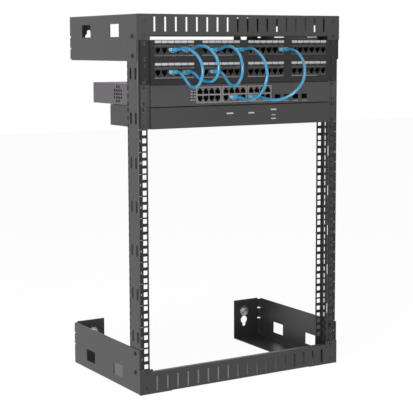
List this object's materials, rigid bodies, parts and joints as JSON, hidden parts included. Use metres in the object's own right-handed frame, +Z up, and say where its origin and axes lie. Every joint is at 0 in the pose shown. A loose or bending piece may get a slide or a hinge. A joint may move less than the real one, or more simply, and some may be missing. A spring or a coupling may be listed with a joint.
{
  "type": "wall-mount two post open frame rack with fitted network equipment",
  "caption": "Open frame wall rack with two posts, slotted rails and corner brackets, holding patch panels, a network switch, a console unit and patch leads.",
  "frame": {"origin": "on the floor, under the middle of the rack's bounding box without the patch leads", "axes": "+X across the rack to the right, +Y from the front to the wall, +Z up"},
  "size_m": [0.5028, 0.449, 0.7696],
  "materials": {
    "powder_coat": "matt black powder coat with a fine texture",
    "black_steel": "black oxide screws",
    "zinc_steel": "bright zinc plate",
    "panel_steel": "satin black paint",
    "case_steel": "satin dark grey paint",
    "case_plastic": "dark grey moulded plastic",
    "console_steel": "satin black paint",
    "console_plastic": "black moulded plastic",
    "black_plastic": "black moulded plastic",
    "label_paper": "white label strip under clear film",
    "blue_jacket": "satin blue PVC jacket",
    "blue_plug": "blue moulded boot and clear plug"
  },
  "bodies": {
    "root": {"left_post": "powder_coat", "right_post": "powder_coat", "top_rail": "powder_coat", "bottom_rail": "powder_coat", "top_left_bracket": "powder_coat", "top_right_bracket": "powder_coat", "bottom_left_bracket": "powder_coat", "bottom_right_bracket": "powder_coat", "wall_bolts": "zinc_steel", "wall_washers": "zinc_steel", "rail_screws": "black_steel", "bracket_screws": "black_steel", "equipment_screws": "black_steel", "cage_nuts": "zinc_steel", "upper_panel": "panel_steel", "upper_panel_ports": "black_plastic", "upper_panel_labels": "label_paper", "upper_panel_terminals": "black_plastic", "lower_panel": "panel_steel", "lower_panel_ports": "black_plastic", "lower_panel_labels": "label_paper", "lower_panel_terminals": "black_plastic", "switch_case": "case_steel", "switch_fascia": "case_plastic", "switch_ears": "case_steel", "switch_ports": "black_plastic", "switch_fibre_cages": "zinc_steel", "console_case": "console_steel", "console_fascia": "console_plastic", "console_ears": "console_steel", "lead_1": "blue_jacket", "lead_1_plugs": "blue_plug", "lead_2": "blue_jacket", "lead_2_plugs": "blue_plug", "lead_3": "blue_jacket", "lead_3_plugs": "blue_plug", "lead_4": "blue_jacket", "lead_4_plugs": "blue_plug", "lead_5": "blue_jacket", "lead_5_plugs": "blue_plug"}
  },
  "joints": []
}
